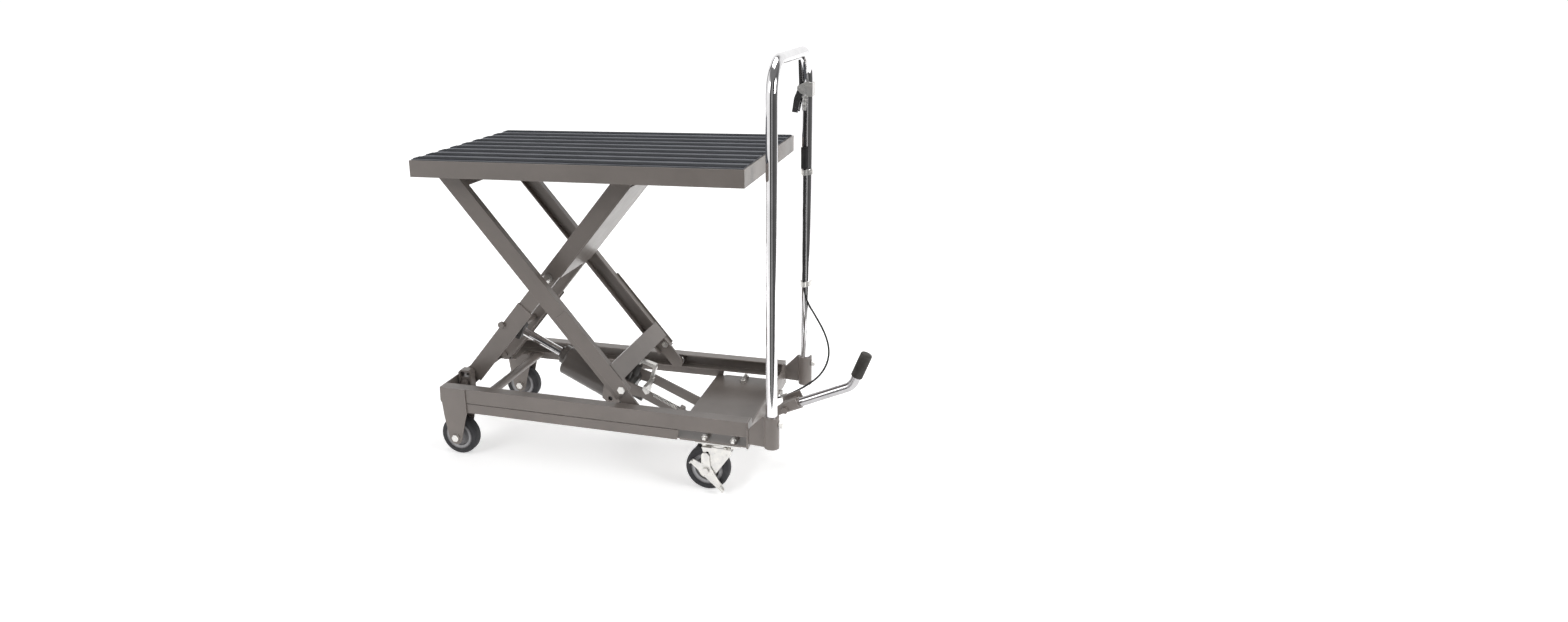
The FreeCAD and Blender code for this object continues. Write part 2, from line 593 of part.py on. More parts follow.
# valve lever: bent zinc strip, hinge at its top left end on the pump block
VX, VZ = 66.0, 222.0
vl = plateY([(58, 222), (62, 229), (68, 230), (106, 219), (107, 212), (85, 141), (76, 143), (78, 150), (98, 211), (68, 221.5), (64, 216)], -8, 6)
vtail = plateY([(87, 172), (97, 172), (99, 181), (90, 182)], -60, 6)
vtail2 = plateY([(87, 172), (97, 172), (103, 163), (95, 160)], -60, -50)
vl = fuse([vl, vtail, vtail2]).cut(cylY(64, 222.5, 2.6, -20, 20))
vp = cylY(64, 222.5, 2.5, -14, 12)
feature("valve_lever", Part.makeCompound([vl, vp]))

# return spring as a plain coil body round the inner wire
d = V(0.9025, 0, -0.4307)
w0 = V(99, -55, 168)
spr = Part.makeCylinder(5.5, 66, w0 + d * 18, d).cut(Part.makeCylinder(4, 70, w0 + d * 17, d))
wire = Part.makeCylinder(1.2, 100, w0 + d * 13, d)
cap1 = Part.makeCylinder(5.5, 3, w0 + d * 15.5, d)
cap2 = Part.makeCylinder(5.5, 3, w0 + d * 84, d)
spr = fuse([spr, cap1, cap2, wire])
feature("return_spring", spr)

# ================= pedal =================
yk = []
for sg in (-1, 1):
    y0, y1 = sorted((sg * 26.0, sg * 31.0))
    yk.append(plateY([(258, 80), (262, 70), (272, 66), (284, 70), (392, 92), (410, 113), (424, 132), (472.4, 158.6), (462.7, 177.5), (422, 156.2),
                      (421.8, 141), (404, 124), (392, 113), (284, 94), (272, 98), (262, 93)], y0, y1))
br = plateY([(394, 97), (404, 108), (402, 118), (392.5, 110)], -27, 27)
yoke = fuse(yk + [br]).cut(cylY(EX, EZ, 8.15, -70, 70))
t_dir = V(156, 0, 71).normalize()
bx_ = cylY(439.4, 147.7, 4.0, -37, 37)
bolt = fuse([bx_, hexY(439.4, 147.7, 14, -37.5, -31.2), hexY(439.4, 147.7, 14, 31.2, 37.5)])
yoke = yoke.cut(cylY(439.4, 147.7, 4.1, -60, 60))
collar = Part.makeCylinder(14.0, 40, V(436, 0, 143) - t_dir * 2, t_dir)
wings = Part.makeBox(30, 51.9, 12)
wings.Placement = Pl(V(433, -25.95, 140), Rot(V(0, 1, 0), -24.5))
bore_t = Part.makeCylinder(D.PedalTubeR + 0.05, 80, V(436, 0, 143) - t_dir * 8, t_dir)
collar = fuse([collar, wings]).cut(bore_t).cut(cylY(439.4, 147.7, 4.1, -60, 60))
feature("pedal_yoke", Part.makeCompound([yoke, bolt, collar]))

# chrome pedal tube: straight, then one bend up into the grip
p0 = V(436, 0, 143) + t_dir * 14
p1 = V(592, 0, 214)
g_dir = V(23, 0, 59).normalize()
p2 = p1 + g_dir * 84
def round_path(pts, rads):
    edges = []
    cur = pts[0]
    for i in range(1, len(pts) - 1):
        a, c, e = pts[i - 1], pts[i], pts[i + 1]
        u = (a - c).normalize()
        w = (e - c).normalize()
        ang = u.getAngle(w)
        turn = math.pi - ang
        r = rads[i - 1]
        tl = r * math.tan(turn / 2)
        s_, f_ = c + u * tl, c + w * tl
        bis = (u + w).normalize()
        mid = c + bis * (r / math.cos(turn / 2) - r)
        edges.append(Part.LineSegment(cur, s_).toShape())
        edges.append(Part.Arc(s_, mid, f_).toShape())
        cur = f_
    edges.append(Part.LineSegment(cur, pts[-1]).toShape())
    return Part.Wire(edges)
def tube(wire, r, p, dirv):
    prof = Part.Wire([Part.Circle(p, dirv, r).toShape()])
    return wire.makePipeShell([prof], True, False)
pw = round_path([p0, p1, p2], [34])
pt = tube(pw, D.PedalTubeR, p0, t_dir)
feature("pedal_tube", pt)
gp0 = p1 + g_dir * 26
grip = Part.makeCylinder(14, 64, gp0, g_dir)
grip = grip.makeFillet(3, [grip.Edges[0], grip.Edges[2]])
grip = grip.cut(Part.makeCylinder(D.PedalTubeR + 0.03, 58.2, gp0 - g_dir * 0.1, g_dir))
feature("pedal_grip", grip)

# ================= release lever, cable =================
HX, HY = D.HandleX, D.HandleY
LPX, LPZ = 427.9, 890.0
sd = Part.makeBox(9, 34, 33, V(450, HY - 17, 870))
for s_ in (-1, 1):
    y0, y1 = sorted((HY + s_ * 15.0, HY + s_ * 17.0))
    sd = sd.fuse(plateY([(443, 870), (459, 870), (459, 903), (443, 905), (426, 898), (422, 894), (422, 886), (428, 880)], y0, y1))
ACX, ACY = 440.0, 178.2
tab = Part.makeBox(14, 5.7, 4, V(434, 174.5, 868))
adj = Part.makeCylinder(4, 34, V(ACX, ACY, 838)).fuse(hexZ(ACX, ACY, 11, 846, 852)).fuse(hexZ(ACX, ACY, 11, 858, 863))
cc = fuse([sd, tab, adj]).cut(Part.makeCylinder(12.75, 90, V(HX, HY, 830))).cut(Part.makeCylinder(2.55, 40, V(ACX, ACY, 836)))
cc = cc.cut(cylY(LPX, LPZ, 2.1, HY - 20, HY + 20))
lpin = cylY(LPX, LPZ, 2.0, HY - 18, HY + 18)
feature("lever_collar", Part.makeCompound([cc, lpin]))

# pressed channel lever: web on the left, two side walls that straddle the post
web = plateY([(424, 957), (426, 900), (421, 884), (414, 867), (409, 833), (411, 832.7), (415.9, 866.4), (422.8, 883.2), (427.8, 900), (425.8, 957)], HY - 14.4, HY + 14.4)
lwl = []
for s_ in (-1, 1):
    y0, y1 = sorted((HY + s_ * 13.2, HY + s_ * 14.4))
    lwl.append(plateY([(424, 957), (426, 900), (421, 884), (414, 867), (409, 833), (423, 831), (426.5, 848), (431, 867), (441, 890), (441, 898), (430.8, 905), (430.8, 957)], y0, y1))
lv = fuse([web] + lwl).cut(cylY(LPX, LPZ, 2.15, 150, 230))
feature("release_lever", lv)

# cable: straight runs joined by tangent arcs
route = [V(440, 178.2, 836), V(440, 178.4, 800), V(440.6, 178.4, 762), V(440, 178.5, 715), V(440.8, 178.3, 662), V(440, 178.5, 604),
         V(440.8, 178.3, 546), V(440, 178.5, 488), V(440.6, 178.4, 432), V(441.5, 178.8, 392), V(449, 179, 356), V(474, 176, 318), V(498, 170, 279), V(511, 164, 240),
         V(508, 157, 203), V(490, 150, 170), V(462, 144, 146), V(432, 137, 127), V(402, 128, 112.5), V(372, 116, 108),
         V(344, 98, 106), V(318, 76, 105), V(292, 52, 106), V(270, 30, 107)]
rads = []
for i in range(1, len(route) - 1):
    a, c, e = route[i - 1], route[i], route[i + 1]
    turn = math.pi - (a - c).getAngle(e - c)
    r = 0.45 * min((a - c).Length, (e - c).Length) / math.tan(turn / 2)
    rads.append(r)
print("cable radii", [round(r) for r in rads])
cw = round_path(route, rads)
cr = 2.4
cab = tube(cw, cr, route[0], (route[1] - route[0]).normalize())
if cab.ShapeType != "Solid":
    cab = Part.makeSolid(cab) if cab.ShapeType == "Shell" else cab
print("cable length %.1f volume %.1f expected %.1f" % (cw.Length, cab.Volume, math.pi * cr * cr * cw.Length))
feature("release_cable", cab)
# last stretch of the cable, carried by the hydraulic unit
route2 = [V(270, 29, 107), V(256, 4, 108.5), V(244, -20, 112), V(232, -42, 115), V(217, -54, 116.5), V(203, -55.3, 118)]
rads2 = []
for i in range(1, len(route2) - 1):
    a, c, e = route2[i - 1], route2[i], route2[i + 1]
    turn = math.pi - (a - c).getAngle(e - c)
    rads2.append(0.45 * min((a - c).Length, (e - c).Length) / math.tan(turn / 2))
print("cable end radii", [round(r) for r in rads2])
cw2 = round_path(route2, rads2)
cab2 = tube(cw2, cr, route2[0], (route2[1] - route2[0]).normalize())
print("cable end length %.1f volume %.1f expected %.1f" % (cw2.Length, cab2.Volume, math.pi * cr * cr * cw2.Length))
feature("release_cable_end", cab2)

cl = []
for z in (679, 394):
    ringo = Part.makeCylinder(15.0, 13, V(HX, HY, z)).cut(Part.makeCylinder(12.75, 20, V(HX, HY, z - 1)))
    cx_, cy_ = (440.5, 178.4) if z > 500 else (441.3, 178.7)
    sm = Part.makeCylinder(6.2, 13, V(cx_, cy_, z))
    cl.append(ringo.fuse(sm).cut(Part.makeCylinder(12.75, 20, V(HX, HY, z - 1))).cut(Part.makeCylinder(3.5, 20, V(cx_, cy_, z - 1))).removeSplitter())
slv = Part.makeCylinder(9.6, 52, V(442.2, 177.4, 696)).cut(Part.makeCylinder(13.0, 60, V(HX, HY, 690))).cut(Part.makeCylinder(3.1, 60, V(440.3, 178.4, 690))).removeSplitter()
feature("cable_clips", Part.makeCompound(cl))
feature("cable_sleeve", slv)
gd = V(60, 21, 19).normalize()
gc = V(403.5, 127.9, 114)
gl = Part.makeCylinder(6, 18, gc - gd * 9, gd)
feature("cable_gland", fuse([gl, Part.makeBox(8, 5, 12, V(392, 125, 117))]).cut(Part.makeCylinder(3.6, 60, gc - gd * 30, gd)))

doc.recompute()
bad = []
for o in doc.Objects:
    if any(k in ("Invalid", "Error") for k in o.State):
        bad.append((o.Name, o.State))
for o in NODES:
    if o.Shape.isNull() or not o.Shape.isValid() or o.Shape.Volume <= 0:
        bad.append((o.Label, "shape"))
    elif not o.Shape.Solids:
        bad.append((o.Label, "no solid"))
if bad:
    raise RuntimeError("failed objects: %s" % bad)
os.makedirs("parts", exist_ok=True)
for o in NODES:
    o.Shape.exportStep("parts/%s.step" % o.Label)
print(len(NODES), "nodes")
for o in NODES:
    print(o.Label, len(o.Shape.Solids), round(o.Shape.Volume), [round(v, 1) for v in (o.Shape.BoundBox.XMin, o.Shape.BoundBox.XMax, o.Shape.BoundBox.YMin, o.Shape.BoundBox.YMax, o.Shape.BoundBox.ZMin, o.Shape.BoundBox.ZMax)])
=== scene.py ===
import bpy, bmesh, math
from mathutils import Vector, Matrix


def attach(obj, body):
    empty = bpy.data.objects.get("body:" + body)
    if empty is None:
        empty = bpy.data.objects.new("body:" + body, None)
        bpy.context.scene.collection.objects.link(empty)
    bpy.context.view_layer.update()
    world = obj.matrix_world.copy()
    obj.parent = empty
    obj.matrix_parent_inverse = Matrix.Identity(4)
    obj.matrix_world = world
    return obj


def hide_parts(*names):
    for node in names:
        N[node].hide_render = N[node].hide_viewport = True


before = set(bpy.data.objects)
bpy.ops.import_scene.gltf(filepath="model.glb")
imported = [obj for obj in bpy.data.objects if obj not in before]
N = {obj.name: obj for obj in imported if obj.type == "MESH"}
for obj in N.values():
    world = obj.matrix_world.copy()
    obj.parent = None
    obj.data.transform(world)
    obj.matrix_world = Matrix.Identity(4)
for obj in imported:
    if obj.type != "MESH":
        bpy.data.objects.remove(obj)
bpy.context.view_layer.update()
XO = 0.1104


def W(x, y, z):
    """A point given in millimetres from the table's own centre, in the row frame in metres."""
    return Vector((x / 1000 - XO, y / 1000, z / 1000))


# ---------------------------------------------------------------- camera
cam = bpy.data.cameras.new("cam")
cam.sensor_width = 36.0
cam.lens = 22.575
cam.shift_x = 0.0918
cam.shift_y = -0.0389
cam.clip_start = 0.05
cam_o = bpy.data.objects.new("cam", cam)
bpy.context.scene.collection.objects.link(cam_o)
bpy.context.scene.camera = cam_o
e_, a_, r_ = math.radians(14.57), math.radians(20.62), math.radians(2.01)
back = Vector((math.sin(a_) * math.cos(e_), -math.cos(a_) * math.cos(e_), math.sin(e_)))
right = Vector((math.cos(a_), math.sin(a_), 0))
up = back.cross(right)
c_, s_ = math.cos(r_), math.sin(r_)
ROLL = 1.0
right2 = right * c_ + up * (-s_ * ROLL)
up2 = right * (s_ * ROLL) + up * c_
M = Matrix.Identity(4)
for i in range(3):
    M[i][0], M[i][1], M[i][2] = right2[i], up2[i], back[i]
M.translation = Vector((0.89408 - XO, -2.18512, 1.12095))
cam_o.matrix_world = M


# ---------------------------------------------------------------- materials
def mat(name):
    m = bpy.data.materials.new(name)
    m.use_nodes = True
    nt = m.node_tree
    b = nt.nodes["Principled BSDF"]
    return m, nt, b


def nd(nt, kind, **kw):
    n = nt.nodes.new(kind)
    for k, v in kw.items():
        if k in n.inputs:
            n.inputs[k].default_value = v
        else:
            setattr(n, k, v)
    return n


def coords(nt):
    return nd(nt, "ShaderNodeTexCoord").outputs["Object"]


def noise(nt, vec, scale, detail=3.0, rough=0.5):
    n = nd(nt, "ShaderNodeTexNoise", Scale=scale, Detail=detail, Roughness=rough)
    nt.links.new(vec, n.inputs["Vector"])
    return n.outputs["Fac"]


def ramp(nt, fac, stops):
    r = nt.nodes.new("ShaderNodeValToRGB")
    els = r.color_ramp.elements
    els.remove(els[-1])
    for i, (p, c) in enumerate(stops):
        if i:
            e = els.new(p)
        else:
            e = els[0]
            e.position = p
        e.color = (c[0], c[1], c[2], 1) if hasattr(c, "__len__") else (c, c, c, 1)
    nt.links.new(fac, r.inputs["Fac"])
    return r.outputs["Color"]


def mixc(nt, fac, a, b):
    m = nt.nodes.new("ShaderNodeMix")
    m.data_type = "RGBA"
    for sock, v in ((m.inputs["Factor"], fac), (m.inputs[6], a), (m.inputs[7], b)):
        if hasattr(v, "is_output"):
            nt.links.new(v, sock)
        elif sock.type == "RGBA":
            sock.default_value = (v[0], v[1], v[2], 1)
        else:
            sock.default_value = v
    return m.outputs[2]


def math_(nt, op, a, b=None, clamp=False):
    m = nt.nodes.new("ShaderNodeMath")
    m.operation = op
    m.use_clamp = clamp
    for sock, v in zip(m.inputs, (a, b)):
        if v is None:
            continue
        if hasattr(v, "is_output"):
            nt.links.new(v, sock)
        else:
            sock.default_value = v
    return m.outputs[0]


def bump(nt, b, height, strength, dist, bevel=0.0):
    n = nd(nt, "ShaderNodeBump", Strength=strength, Distance=dist)
    nt.links.new(height, n.inputs["Height"])
    if bevel:
        bv = nd(nt, "ShaderNodeBevel", Radius=bevel)
        bv.samples = 4
        nt.links.new(bv.outputs["Normal"], n.inputs["Normal"])
    nt.links.new(n.outputs["Normal"], b.inputs["Normal"])


def edge_mask(nt, radius, lo=0.02, hi=0.12):
    """1 at edges, where the paint is lightened as painted edge highlight and wear: how far the bevelled normal leans
    away from the flat one.
    """
    bv = nd(nt, "ShaderNodeBevel", Radius=radius)
    bv.samples = 4
    g = nd(nt, "ShaderNodeNewGeometry")
    d = nt.nodes.new("ShaderNodeVectorMath")
    d.operation = "DOT_PRODUCT"
    nt.links.new(bv.outputs["Normal"], d.inputs[0])
    nt.links.new(g.outputs["Normal"], d.inputs[1])
    inv = math_(nt, "SUBTRACT", 1.0, d.outputs["Value"])
    mr = nd(nt, "ShaderNodeMapRange")
    mr.inputs["From Min"].default_value = lo
    mr.inputs["From Max"].default_value = hi
    nt.links.new(inv, mr.inputs["Value"])
    return mr.outputs["Result"]


def paint(name, col, rough=0.38, edge_highlight_and_wear=0.55):
    m, nt, b = mat(name)
    v = coords(nt)
    big = noise(nt, v, 9.0, 4.0, 0.6)
    fine = noise(nt, v, 900.0, 2.0)
    c1 = mixc(nt, ramp(nt, big, [(0.35, 0.0), (0.7, 1.0)]), [k * 0.93 for k in col], [min(1, k * 1.06) for k in col])
    specks = ramp(nt, noise(nt, v, 260.0, 6.0, 0.75), [(0.70, 0.0), (0.78, 1.0)])
    c2 = mixc(nt, math_(nt, "MULTIPLY", specks, 0.25), c1, [k * 0.6 for k in col])
    # edges are lightened: painted edge highlight, broken up by noise so it also reads as wear
    em = edge_mask(nt, 0.0017)
    em = math_(nt, "MULTIPLY", em, ramp(nt, noise(nt, v, 45.0, 4.0, 0.7), [(0.42, 0.25), (0.62, 1.0)]))
    em = math_(nt, "MULTIPLY", em, edge_highlight_and_wear)
    c3 = mixc(nt, em, c2, [min(1, k * 2.3 + 0.05) for k in col])
    nt.links.new(c3, b.inputs["Base Color"])
    rr = math_(nt, "ADD", math_(nt, "MULTIPLY", noise(nt, v, 30.0, 3.0), 0.16), rough - 0.08)
    nt.links.new(rr, b.inputs["Roughness"])
    b.inputs["Coat Weight"].default_value = 0.12
    b.inputs["Coat Roughness"].default_value = 0.25
    orange = math_(nt, "ADD", math_(nt, "MULTIPLY", noise(nt, v, 320.0, 2.0), 0.7), math_(nt, "MULTIPLY", fine, 0.3))
    bump(nt, b, orange, 0.22, 0.0006, bevel=0.0009)
    return m


def metal(name, col, rough, var=0.08, scale=60.0, bump_s=0.08, bevel=0.0005, tint=None, metallic=1.0):
    m, nt, b = mat(name)
    v = coords(nt)
    n1 = noise(nt, v, scale, 5.0, 0.6)
    c = mixc(nt, ramp(nt, n1, [(0.35, 0.0), (0.7, 1.0)]), [k * 0.88 for k in col], tint or [min(1, k * 1.05) for k in col])
    nt.links.new(c, b.inputs["Base Color"])
    b.inputs["Metallic"].default_value = metallic
    rr = math_(nt, "ADD", math_(nt, "MULTIPLY", noise(nt, v, scale * 3, 3.0), var), rough - var / 2)
    nt.links.new(rr, b.inputs["Roughness"])
    bump(nt, b, noise(nt, v, scale * 8, 2.0), bump_s, 0.0004, bevel=bevel)
    return m


M_PAINT = paint("paint_grey", (0.196, 0.171, 0.156), 0.34)
M_TABLE = paint("paint_table", (0.214, 0.189, 0.173), 0.34, 0.6)
M_DARK = paint("paint_dark_casting", (0.050, 0.047, 0.044), 0.42, 0.35)
M_UNIT = paint("paint_cylinder", (0.092, 0.080, 0.073), 0.34, 0.4)
M_UNIT.node_tree.nodes["Principled BSDF"].inputs["Coat Weight"].default_value = 0.35
M_UNIT.node_tree.nodes["Principled BSDF"].inputs["Coat Roughness"].default_value = 0.22
M_CHROME = metal("chrome", (0.84, 0.83, 0.84), 0.06, 0.04, 25.0, 0.0, 0.0)
# darker copy of the chrome: painted shade standing in for the darker reflections on the pedal tube and release lever
M_CHROME_SHADED = metal("chrome_shaded", (0.50, 0.49, 0.50), 0.14, 0.06, 25.0, 0.0, 0.0)
M_ZINC = metal("zinc_plate", (0.80, 0.79, 0.77), 0.30, 0.16, 70.0, 0.18, 0.0005, (0.86, 0.84, 0.80), 0.85)
M_STEEL = metal("turned_steel", (0.42, 0.41, 0.40), 0.32, 0.14, 90.0, 0.2)

# rubber mat: dark raised ribs on a paler base, with fine grooves along the table
M_MAT, nt, b = mat("ribbed_mat")
v = coords(nt)
sep = nd(nt, "ShaderNodeSeparateXYZ"); nt.links.new(v, sep.inputs[0])
hgt = nd(nt, "ShaderNodeMapRange"); hgt.inputs["From Min"].default_value = 0.7684; hgt.inputs["From Max"].default_value = 0.7692
nt.links.new(sep.outputs["Z"], hgt.inputs["Value"])
dust = noise(nt, v, 14.0, 5.0, 0.65)
lightc = mixc(nt, ramp(nt, dust, [(0.3, 0.0), (0.75, 1.0)]), (0.105, 0.110, 0.122), (0.150, 0.156, 0.170))
darkc = mixc(nt, ramp(nt, dust, [(0.3, 0.0), (0.8, 1.0)]), (0.006, 0.007, 0.011), (0.013, 0.015, 0.021))
nt.links.new(mixc(nt, hgt.outputs["Result"], lightc, darkc), b.inputs["Base Color"])
b.inputs["Roughness"].default_value = 0.72
b.inputs["Specular IOR Level"].default_value = 0.16
groove = math_(nt, "SINE", math_(nt, "MULTIPLY", sep.outputs["Y"], 2 * math.pi / 0.0035))
hh = math_(nt, "ADD", math_(nt, "MULTIPLY", groove, 0.5), math_(nt, "MULTIPLY", noise(nt, v, 1400.0, 2.0), 0.5))
bump(nt, b, hh, 0.35, 0.0005, bevel=0.0004)


def rubber(name, col, rough=0.7, ring=None):
    m, nt, b = mat(name)
    v = coords(nt)
    d = noise(nt, v, 22.0, 5.0, 0.7)
    c = mixc(nt, ramp(nt, d, [(0.4, 0.0), (0.85, 1.0)]), col, [k * 1.7 + 0.012 for k in col])
    nt.links.new(c, b.inputs["Base Color"])
    b.inputs["Roughness"].default_value = rough
    b.inputs["Specular IOR Level"].default_value = 0.35
    bump(nt, b, noise(nt, v, 1100.0, 3.0, 0.6), 0.3, 0.0004)
    return m


M_TYRE = rubber("tyre_rubber", (0.030, 0.030, 0.033), 0.66)
M_GRIP = rubber("grip_rubber", (0.045, 0.042, 0.038), 0.6)
M_BLACK = rubber("black_plastic", (0.012, 0.012, 0.013), 0.42)
M_HUB = rubber("hub_plastic", (0.155, 0.150, 0.155), 0.45)
M_HUBL = rubber("hub_ring", (0.33, 0.33, 0.34), 0.4)

CHROME = ("handle_bar", "piston_rod", "pedal_tube", "release_lever")
ZINC = ("frame_bolts", "caster_plates", "caster_fork_near", "caster_fork_far", "brake_lever_near", "brake_lever_far", "arm_bolts",
        "valve_lever", "lever_collar", "cable_clips", "cable_gland")
STEEL = ("pivot_shaft", "table_roller_near", "table_roller_far", "base_roller_near", "base_roller_far")
for name, o in N.items():
    m = M_PAINT
    if name in CHROME: m = M_CHROME
    elif name in ZINC: m = M_ZINC
    # pedal tube and release lever get the darker chrome copy: painted shade
    if name in ("pedal_tube", "release_lever"): m = M_CHROME_SHADED
    elif name in STEEL: m = M_STEEL
    elif name == "table_top": m = M_TABLE
    elif name == "table_mat": m = M_MAT
    elif name in ("pump_block",): m = M_DARK
    elif name == "cylinder_body": m = M_UNIT
    elif "tyre" in name: m = M_TYRE
    elif "hub" in name: m = M_HUB
    elif name == "pedal_grip": m = M_GRIP
    elif name in ("cable_sleeve", "release_cable", "release_cable_end"): m = M_BLACK
    o.data.materials.clear()
    o.data.materials.append(m)


# the cast eye of the piston rod and the pivot stubs are painted, the rod itself is plated
rod_o = N["piston_rod"]
rod_o.data.materials.append(M_DARK)
pc = W(-277.96, 0, 282.97)
ra = Vector((0.9063, 0, -0.4226))
for f in rod_o.data.polygons:
    c = rod_o.matrix_world @ f.center - pc
    if c.dot(ra) * 1000 < 20 or (c - ra * c.dot(ra)).length * 1000 > 11.5:
        f.material_index = 1

# ---------------------------------------------------------------- mesh helpers
def obj_from(name, verts, faces, m, smooth=True, angle=35):
    me = bpy.data.meshes.new(name)
    me.from_pydata([tuple(p) for p in verts], [], faces)
    me.update()
    bm = bmesh.new(); bm.from_mesh(me)
    bmesh.ops.remove_doubles(bm, verts=bm.verts, dist=1e-7)
    bmesh.ops.recalc_face_normals(bm, faces=bm.faces)
    bm.to_mesh(me); bm.free()
    o = bpy.data.objects.new(name, me)
    bpy.context.scene.collection.objects.link(o)
    me.materials.append(m)
    if smooth:
        me.shade_smooth()
        me.set_sharp_from_angle(angle=math.radians(angle))
    return o


def lathe(name, prof, origin, axis, m, segs=96, ripple=None):
    """Closed turned body: prof is a closed loop of (along, radius) in millimetres about axis through origin."""
    axis = axis.normalized()
    u = axis.orthogonal().normalized()
    w = axis.cross(u)
    vs, fs = [], []
    n = len(prof)
    for k in range(segs):
        a = 2 * math.pi * k / segs
        d = u * math.cos(a) + w * math.sin(a)
        for (t, r) in prof:
            rr = r + (ripple(t, a) if ripple else 0)
            vs.append(origin + axis * (t / 1000) + d * (rr / 1000))
    for k in range(segs):
        k2 = (k + 1) % segs
        for i in range(n):
            i2 = (i + 1) % n
            fs.append((k * n + i, k * n + i2, k2 * n + i2, k2 * n + i))
    return obj_from(name, vs, fs, m)


def rounded(pts, r, steps=4):
    """A closed polygon with each corner rounded by radius r."""
    out = []
    n = len(pts)
    for i in range(n):
        p, c, q = Vector(pts[i - 1]), Vector(pts[i]), Vector(pts[(i + 1) % n])
        d1, d2 = (p - c), (q - c)
        rr = min(r, d1.length * 0.45, d2.length * 0.45)
        a, b_ = c + d1.normalized() * rr, c + d2.normalized() * rr
        for k in range(steps + 1):
            t = k / steps
            out.append(tuple((a * (1 - t) ** 2 + c * 2 * t * (1 - t) + b_ * t ** 2)))
    return out


# ---------------------------------------------------------------- wheels
for side, sg in (("near", -1), ("far", 1)):
    for kind, cx, R, wd, rim, body in (("fixed", -366, 50.0, 30.0, 36.0, "fixed_wheel_"), ("caster", 291, 52.0, 32.0, 37.5, "caster_wheel_")):
        cz = R
        o0 = W(cx, sg * 178, cz)
        h = wd / 2
        prof = rounded([(-h + 0.6, rim), (-h, rim + 3), (-h, R - 5), (-h + 3, R - 1.3), (-h + 6, R - 0.25), (-h + 6.6, R - 1.2), (-h + 7.2, R), (0, R),
                        (h - 7.2, R), (h - 6.6, R - 1.2), (h - 6, R - 0.25), (h - 3, R - 1.3), (h, R - 5), (h, rim + 3), (h - 0.6, rim)], 1.2, 3)
        t = lathe(kind + "_tyre_v_" + side, prof, o0, Vector((0, 1, 0)), M_TYRE)
        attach(t, body + side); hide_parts(kind + "_tyre_" + side)
        prof = rounded([(-h - 1, 5.2), (-h - 1, 12.5), (-h + 2.5, 14.5), (-h + 5.5, 16), (-h + 5.5, rim - 10), (-h + 2.2, rim - 8.5), (-h + 2.2, rim - 4), (-h + 1, rim - 3),
                        (-h + 1, rim), (h - 1, rim), (h - 1, rim - 3), (h - 2.2, rim - 4), (h - 2.2, rim - 8.5), (h - 5.5, rim - 10), (h - 5.5, 16), (h - 2.5, 14.5), (h + 1, 12.5), (h + 1, 5.2)], 0.8, 2)
        hb = lathe(kind + "_hub_v_" + side, prof, o0, Vector((0, 1, 0)), M_HUB)
        hb.data.materials.append(M_HUBL)
        for p in hb.data.polygons:
            c = p.center - o0
            r = math.hypot(c.x, c.z) * 1000
            if rim - 8.8 < r < rim - 3.2 and abs(c.y) * 1000 > h - 4:
                p.material_index = 1
        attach(hb, body + side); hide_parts(kind + "_hub_" + side)

# ---------------------------------------------------------------- pedal grip
g_dir = Vector((23, 0, 59)).normalized()
p1 = Vector((592, 0, 214))
gp0 = p1 + g_dir * 26
prof = [(0.2, 11.2), (0.0, 12.6), (1.5, 13.8)]
t = 3.0
while t < 52:
    prof += [(t, 13.9), (t + 1.4, 13.9), (t + 1.9, 12.7), (t + 2.9, 12.7), (t + 3.4, 13.9)]
    t += 3.9
prof += [(56, 13.9), (60, 13.6), (62.5, 12.4), (63.8, 9.5), (64.0, 4.0), (64.0, 0.02), (58.6, 0.02), (58.4, 11.2)]
gr = lathe("pedal_grip_v", prof, W(gp0.x, gp0.y, gp0.z), g_dir, M_GRIP, 64)
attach(gr, "pedal"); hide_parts("pedal_grip")


# ---------------------------------------------------------------- cable
def nurbs(name, pts, radius, m, res=10):
    cu = bpy.data.curves.new(name, "CURVE")
    cu.dimensions = "3D"
    sp = cu.splines.new("NURBS")
    sp.points.add(len(pts) - 1)
    for i, p in enumerate(pts):
        q = W(*p)
        sp.points[i].co = (q.x, q.y, q.z, 1)
    sp.order_u = 3
    sp.use_endpoint_u = True
    sp.resolution_u = res
    cu.bevel_depth = radius
    cu.bevel_resolution = 5
    cu.use_fill_caps = True
    cu.materials.append(m)
    o = bpy.data.objects.new(name, cu)
    bpy.context.scene.collection.objects.link(o)
    return o


route = [(440, 178.2, 836), (440, 178.4, 800), (440.6, 178.4, 762), (440, 178.5, 715), (440.8, 178.3, 662), (440, 178.5, 604), (440.8, 178.3, 546),
         (440, 178.5, 488), (440.6, 178.4, 432), (441.5, 178.8, 392), (449, 179, 356), (474, 176, 318), (498, 170, 279), (511, 164, 240),
         (508, 157, 203), (490, 150, 170), (462, 144, 146), (432, 137, 127), (402, 128, 112.5), (372, 116, 108), (344, 98, 106), (318, 76, 105),
         (292, 52, 106), (270, 30, 107)]
c1 = nurbs("release_cable_v", route, 0.0024, M_BLACK)
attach(c1, "root"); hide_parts("release_cable")
route2 = [(270, 29, 107), (256, 4, 108.5), (244, -20, 112), (232, -42, 115), (217, -54, 116.5), (203, -55.3, 118)]
c2 = nurbs("release_cable_end_v", route2, 0.0024, M_BLACK)
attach(c2, "unit"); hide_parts("release_cable_end")

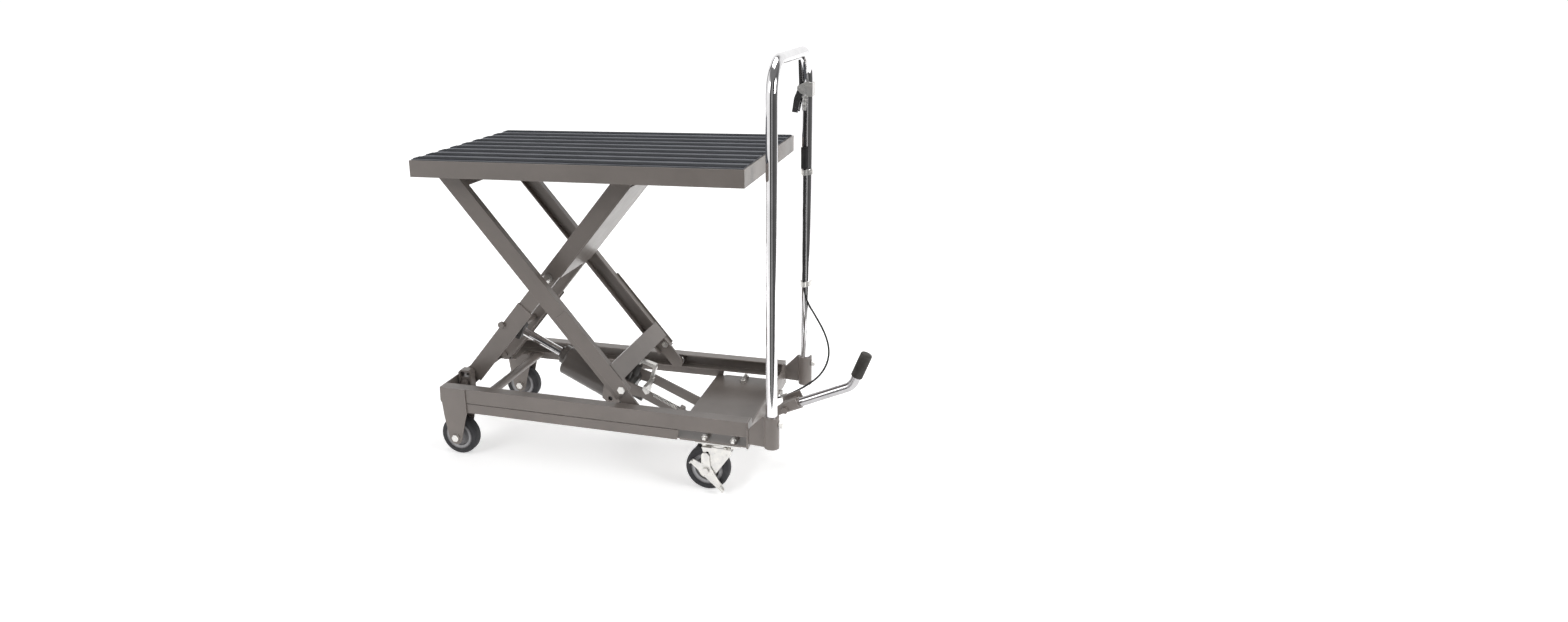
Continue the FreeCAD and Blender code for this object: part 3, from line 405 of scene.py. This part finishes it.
# ---------------------------------------------------------------- return spring: wound wire with hooks
d = Vector((0.9025, 0, -0.4307)).normalized()
w0 = Vector((99, -55, 168))
u = Vector((0, 1, 0)); w_ = d.cross(u)
turns, n_per = 17, 12
pts = [tuple(w0 + d * 13), tuple(w0 + d * 15.5)]
for k in range(turns * n_per + 1):
    a = 2 * math.pi * k / n_per
    tt = 18 + (84 - 18) * k / (turns * n_per)
    p = w0 + d * tt + (u * math.cos(a) + w_ * math.sin(a)) * 4.6
    pts.append(tuple(p))
pts += [tuple(w0 + d * 87), tuple(w0 + d * 96)]
sp = nurbs("return_spring_v", pts, 0.0008, M_ZINC, 3)
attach(sp, "unit"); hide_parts("return_spring")
wire = nurbs("inner_wire", [tuple(w0 + d * 13), tuple(w0 + d * 50 + u * 0.2), tuple(w0 + d * 112.5)], 0.0009, M_STEEL, 6)
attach(wire, "unit")

# ---------------------------------------------------------------- caster brake pads
for side, sg in (("near", -1), ("far", 1)):
    yc = sg * 178
    prof = rounded([(-14, 0.02), (-14, 7), (-12, 8.4), (-4, 8.4), (-3, 7.4), (3, 7.4), (4, 8.4), (12, 8.4), (14, 7), (14, 0.02)], 0.8, 2)
    pd = lathe("brake_pad_" + side, prof, W(272, yc, 99.0), Vector((0, 1, 0)), M_BLACK, 40)
    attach(pd, "caster_" + side)

# ---------------------------------------------------------------- floor and light
fme = bpy.data.meshes.new("floor")
fme.from_pydata([(-1.12, -1.18, -0.0004), (1.95, -0.26, -0.0004), (2.8, 1.7, -0.0004), (3.9, 4.2, -0.0004), (9, 14, -0.0004), (0, 26, -0.0004), (-14, 14, -0.0004),
                 (-6.4, 2.3, -0.0004), (-3.2, 0.2, -0.0004)], [], [tuple(range(9))])
floor = bpy.data.objects.new("floor", fme)
bpy.context.scene.collection.objects.link(floor)
fm, nt, b = mat("floor_pale")
n = noise(nt, coords(nt), 3.0, 2.0)
nt.links.new(mixc(nt, n, (0.90, 0.90, 0.90), (0.92, 0.92, 0.92)), b.inputs["Base Color"])
b.inputs["Roughness"].default_value = 0.9
b.inputs["Specular IOR Level"].default_value = 0.1
b.inputs["Emission Color"].default_value = (1, 1, 1, 1)
dist = nt.nodes.new("ShaderNodeVectorMath")
dist.operation = "LENGTH"
nt.links.new(coords(nt), dist.inputs[0])
glow = nd(nt, "ShaderNodeMapRange")
for k_, v_ in (("From Min", 0.7), ("From Max", 2.6), ("To Min", 0.48), ("To Max", 0.78)):
    glow.inputs[k_].default_value = v_
nt.links.new(dist.outputs["Value"], glow.inputs["Value"])
nt.links.new(glow.outputs["Result"], b.inputs["Emission Strength"])
floor.data.materials.append(fm)

wd = bpy.data.worlds.new("studio")
bpy.context.scene.world = wd
wd.use_nodes = True
nt = wd.node_tree
bg = nt.nodes["Background"]
tc = nd(nt, "ShaderNodeTexCoord")
sx = nd(nt, "ShaderNodeSeparateXYZ"); nt.links.new(tc.outputs["Generated"], sx.inputs[0])
az = math_(nt, "ARCTAN2", sx.outputs["X"], math_(nt, "MULTIPLY", sx.outputs["Y"], -1.0))
pos = math_(nt, "ADD", math_(nt, "DIVIDE", az, 2 * math.pi), 0.5)
rim_ = ramp(nt, pos, [(0.0, 1.0), (0.170, 1.0), (0.176, 0.10), (0.205, 0.10), (0.215, 1.0), (0.425, 1.0), (0.455, 0.05), (0.535, 0.06), (0.545, 0.9), (0.556, 0.9), (0.566, 0.07), (0.70, 0.10), (0.86, 0.16), (0.90, 1.0), (1.0, 1.0)])
hi_ = nd(nt, "ShaderNodeMapRange"); hi_.inputs["From Min"].default_value = 0.55; hi_.inputs["From Max"].default_value = 0.75
nt.links.new(sx.outputs["Z"], hi_.inputs["Value"])
nt.links.new(mixc(nt, hi_.outputs["Result"], rim_, (0.20, 0.20, 0.20)), bg.inputs["Color"])
bg.inputs["Strength"].default_value = 1.02


def area(name, loc, target, size, power, size_y=None):
    l = bpy.data.lights.new(name, "AREA")
    l.shape = "RECTANGLE"
    l.size = size
    l.size_y = size_y or size
    l.energy = power
    o = bpy.data.objects.new(name, l)
    bpy.context.scene.collection.objects.link(o)
    o.location = loc
    o.rotation_euler = (Vector(target) - Vector(loc)).to_track_quat("-Z", "Y").to_euler()
    return o


area("key", (-2.0, -3.0, 2.6), (0, 0, 0.4), 1.8, 34)
area("fill_right", (3.4, -0.9, 1.9), (0.1, 0, 0.5), 1.4, 62)
area("top", (0.2, 0.6, 3.6), (0, 0, 0.3), 2.0, 62)

bpy.context.scene.view_settings.view_transform = "Standard"
bpy.context.scene.view_settings.look = "None"
bpy.context.scene.view_settings.exposure = 0.0
